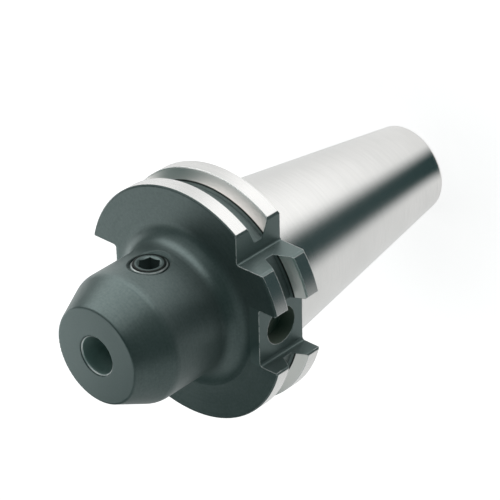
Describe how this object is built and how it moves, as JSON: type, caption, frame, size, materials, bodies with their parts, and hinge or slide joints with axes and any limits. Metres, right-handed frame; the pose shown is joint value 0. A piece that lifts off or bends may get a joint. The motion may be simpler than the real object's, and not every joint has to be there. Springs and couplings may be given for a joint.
{
  "type": "side lock end mill holder",
  "caption": "Steep taper tool holder with a gripper flange and a short nose, whose side screw clamps the flat of an end mill's shank.",
  "frame": {"origin": "on the tool axis in the gauge plane of the taper", "axes": "+Z along the tool axis towards the nose, +X out along the clamp screw, +Y out through the deeper drive slot"},
  "size_m": [0.0636, 0.0612, 0.1184],
  "materials": {
    "blackened_steel": "matte blackened nose and flange faces, bright ground taper, V-groove and flange rims",
    "screw_steel": "satin black oxide with worn edges"
  },
  "bodies": {
    "holder": {"holder_body": "blackened_steel"},
    "screw": {"clamp_screw": "screw_steel"}
  },
  "joints": [
    {"name": "clamp_screw_travel", "type": "slide", "parent": "holder", "child": "screw", "axis": [1, 0, 0], "range_m": [-0.0015, 0.0105]}
  ]
}
